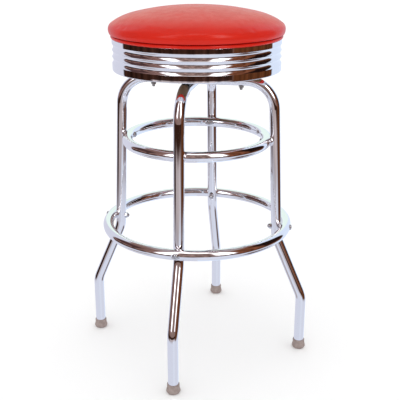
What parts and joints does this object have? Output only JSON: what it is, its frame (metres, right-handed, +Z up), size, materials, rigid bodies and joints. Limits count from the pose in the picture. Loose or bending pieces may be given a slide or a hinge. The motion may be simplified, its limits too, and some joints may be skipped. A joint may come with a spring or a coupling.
{
  "type": "counter stool",
  "caption": "Diner counter stool: round padded swivel seat in a fluted metal band on crossed bent tube legs with an upper brace ring and a footrest ring.",
  "frame": {"origin": "on the floor under the middle of the seat, midway between the four rubber tips", "axes": "+Z up along the swivel axis, one leg hoop stands along X and the other along Y, the front of the stool is -Y"},
  "size_m": [0.5058, 0.5058, 0.762],
  "materials": {
    "chrome_tube": "bright chrome plated steel tube",
    "chrome_trim": "bright polished trim strip",
    "chrome_hardware": "bright plated screws and nuts",
    "zinc_steel": "zinc plated steel, dull",
    "bearing_steel": "polished steel",
    "black_steel": "black swivel plates, satin",
    "tip_rubber": "grey-brown rubber, matt",
    "seat_vinyl": "smooth red vinyl, satin",
    "welt_vinyl": "smooth red vinyl, satin",
    "foam": "open-cell foam",
    "plywood": "bare plywood",
    "staple_wire": "galvanised wire"
  },
  "bodies": {
    "frame": {"side_leg_hoop": "chrome_tube", "front_leg_hoop": "chrome_tube", "upper_ring": "chrome_tube", "footrest_ring": "chrome_tube", "footrest_ring_bolts": "chrome_hardware", "footrest_ring_cap_nuts": "chrome_hardware", "upper_ring_bolts": "chrome_hardware", "upper_ring_collar_nuts": "zinc_steel", "rail_bolts": "zinc_steel", "rail_flange_nuts": "zinc_steel", "rubber_tip_right": "tip_rubber", "rubber_tip_back": "tip_rubber", "rubber_tip_left": "tip_rubber", "rubber_tip_front": "tip_rubber", "tip_discs": "zinc_steel", "swivel_lower_plate": "black_steel", "swivel_pin": "zinc_steel"},
    "bearing": {"ball_cage": "bearing_steel", "bearing_balls": "bearing_steel"},
    "seat": {"swivel_upper_plate": "black_steel", "seat_board": "plywood", "foam_pad": "foam", "seat_cover": "seat_vinyl", "seat_welt": "welt_vinyl", "chrome_band": "chrome_trim", "seat_screws": "zinc_steel", "band_flange_screws": "zinc_steel", "hem_staples": "staple_wire"}
  },
  "joints": [
    {"name": "seat_swivel", "type": "hinge", "parent": "frame", "child": "seat", "pos_m": [0, 0, 0.6349], "axis": [0, 0, 1], "continuous": true},
    {"name": "bearing_turn", "type": "hinge", "parent": "frame", "child": "bearing", "pos_m": [0, 0, 0.6286], "axis": [0, 0, 1], "continuous": true}
  ],
  "couplings": [
    {"joint": "bearing_turn", "follows": "seat_swivel", "ratio": 0.5}
  ]
}
